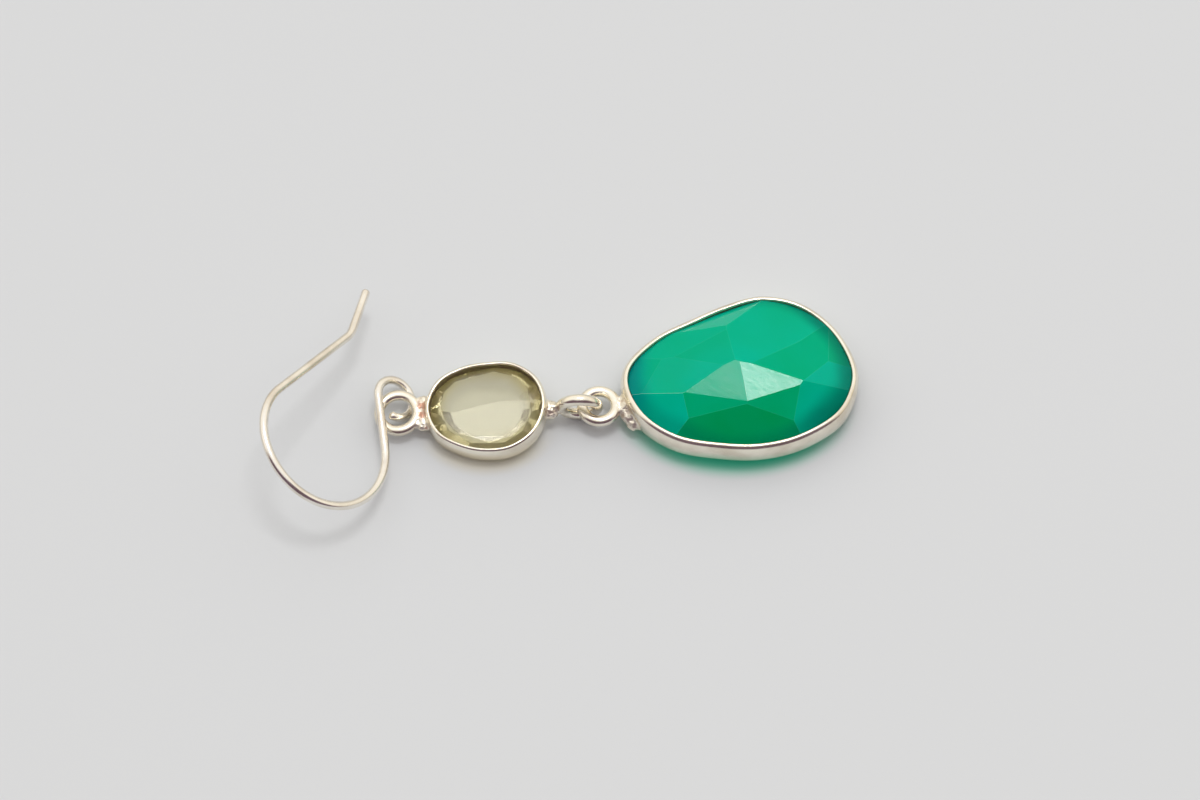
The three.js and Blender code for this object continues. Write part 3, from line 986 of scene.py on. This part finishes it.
ONYX_DEEP = (0.0, 0.33, 0.085, 1)
ONYX_TEAL = (0.0, 0.45, 0.3, 1)
ONYX_BLUE = (0.0, 0.22, 0.27, 1)
ONYX_RIM_SHADE = (0.0, 0.13, 0.095, 1)
ONYX_SHEEN = (0.05, 1.0, 0.8, 1)
ONYX_WEAR_AND_HIGHLIGHT = (0.5, 0.85, 0.68, 1)
ONYX_CLOUDS = 160.0
# Where the painted shade round the rim begins and is full, in half sizes
ONYX_RIM_BAND = (0.82, 1.0)
ONYX_GLOSS = 0.1
ONYX_GLOW = 0.4
# How far red, green and blue light go in the stone, and the length that this multiplies
ONYX_DEPTHS = (0.2, 1.0, 0.7)
ONYX_DEPTH = 0.0012
ONYX_EDGE = 0.07
POLISH_ROUGHNESS = 0.16
CROWN_HEIGHT = 2.55
# Where the streaks run on the polished facets in the middle, and how long and fine they are
STREAK_TURN = math.radians(-33)
STREAK_LENGTHS = (12.0, 1.0, 1.0)
STREAK_SCALE = 6500.0
# The facets whose edges get a painted highlight: the two in the middle, and the first of the
# left ridge, which meets any of the last six there
HIGHLIGHT_EDGED = (0, 1)
RIDGE_NEAR = 5
RIDGE_FAR = (11, 12, 13, 14, 15, 16)
# Each facet: how it falls over half the length and half the width, its tone with painted
# light, its polish
ONYX_FACETS = [
    (0.11, -0.542, 0.7, 1.0),
    (-0.18, -0.58, 0.6, 0.55),
    (-0.252, -0.904, 0.35, 0.0),
    (0.335, -1.05, 0.3, 0.0),
    (0.02, -1.87, 0.12, 0.0),
    (-1.19, -1.06, 0.95, 0.0),
    (1.48, -1.22, 0.78, 0.0),
    (1.5, -0.08, 0.95, 0.1),
    (0.64, 0.52, 0.5, 0.0),
    (0.57, 0.52, 0.52, 0.0),
    (0.4, 0.71, 0.78, 0.0),
    (-0.82, 0.54, 0.66, 0.05),
    (-1.02, 1.77, 0.85, 0.35),
    (-0.98, 0.76, 0.75, 0.0),
    (-0.95, 0.26, 0.8, 0.15),
    (1.57, 0.48, 0.45, 0.0),
    (-1.13, 0.33, 0.7, 0.05),
]
# A face further from every facet's slope than this is a worn edge
FACET_MATCH = math.cos(math.radians(0.6))
EDGE_LIT_TONE = 0.9
EDGE_POLISH = 0.3
PAINTED_EDGE_HIGHLIGHT = 0.7
FAINT_WEAR = 0.06

onyx, tree, shader = new_material("green_onyx")
place = object_place(tree)
local = stone_place(tree, place, LARGE_CENTRE, LARGE_HALF_LENGTH, LARGE_HALF_WIDTH)
rightward = axis_of(tree, local, "X")
depth = cloud(tree, place, ONYX_CLOUDS, 2.0)
streaked = measured(tree, place, (0, 0, 0), STREAK_LENGTHS, (0, 0, STREAK_TURN))
streaks = smooth_step(tree, cloud(tree, streaked, STREAK_SCALE, 3.0, 0.6), 0.3, 0.7)
# Painted light: each facet's green is paler or deeper by how light falls on it, varied at
# random by clouds
tone = mesh_value(tree, "tone") + (depth - 0.5) * 0.6
polish = mesh_value(tree, "polish")
outward = distance_across(tree, local) + (depth - 0.5) * 0.25
rim = smooth_step(tree, outward, *ONYX_RIM_BAND)
rim_shade_share = 0.35 + smooth_step(tree, rightward, 0.3, 0.8) * 0.4
left_tip = smooth_step(tree, 0.0 - rightward, 0.75, 1.0)
colour = mix_colour(tree, tone, ONYX_DEEP, ONYX_TEAL)
colour = mix_colour(tree, left_tip * 0.7, colour, ONYX_BLUE)
# Painted shade: darker toward the rim by the wall, more on the right
colour = mix_colour(tree, rim * rim_shade_share, colour, ONYX_RIM_SHADE)
# Painted highlight: edges of the lit facets are pale; the other edges are faintly pale from
# wear
colour = mix_colour(tree, mesh_value(tree, "worn"), colour, ONYX_WEAR_AND_HIGHLIGHT)
feed(tree, shader, "Base Color", colour)
feed(tree, shader, "Roughness", 0.12 + streaks * 0.1)
feed(tree, shader, "IOR", STONE_INDEX)
feed(tree, shader, "Specular IOR Level", ONYX_GLOSS)
feed(tree, shader, "Specular Tint", ONYX_SHEEN)
feed(tree, shader, "Subsurface Weight", ONYX_GLOW)
feed(tree, shader, "Subsurface Radius", ONYX_DEPTHS)
feed(tree, shader, "Subsurface Scale", ONYX_DEPTH)
feed(tree, shader, "Coat Weight", polish * (0.5 + streaks * 0.5))
feed(tree, shader, "Coat Roughness", POLISH_ROUGHNESS)
feed(tree, shader, "Coat IOR", STONE_INDEX)
add_bump(tree, shader, streaks, 0.2, 0.00001)

green_mesh = cut_stone("lower_stone", ONYX_EDGE)
normals = [
    Vector((x * CROWN_HEIGHT / LARGE_HALF_LENGTH, y * CROWN_HEIGHT / LARGE_HALF_WIDTH, 1))
    for x, y, _, _ in ONYX_FACETS
]
normals = [normal.normalized() for normal in normals]
facet_tones_with_painted_light, polishes, worn = [], [], []
for face in green_mesh.polygons:
    likeness = [face.normal.dot(normal) for normal in normals]
    second, best = sorted(range(len(normals)), key=likeness.__getitem__)[-2:]
    is_edge = face.normal.z > CROWN_RISE and likeness[best] < FACET_MATCH
    on_ridge = RIDGE_NEAR in (best, second) and (best in RIDGE_FAR or second in RIDGE_FAR)
    has_painted_highlight = best in HIGHLIGHT_EDGED or on_ridge
    wear_and_highlight = PAINTED_EDGE_HIGHLIGHT if has_painted_highlight else FAINT_WEAR
    facet_tones_with_painted_light.append(EDGE_LIT_TONE if is_edge else ONYX_FACETS[best][2])
    polishes.append(EDGE_POLISH if is_edge else ONYX_FACETS[best][3])
    worn.append(wear_and_highlight if is_edge else 0.0)
set_value(green_mesh, "tone", facet_tones_with_painted_light, "FACE")
set_value(green_mesh, "polish", polishes, "FACE")
set_value(green_mesh, "worn", worn, "FACE")
add_piece("green_stone", green_mesh, "lower_stone", onyx)
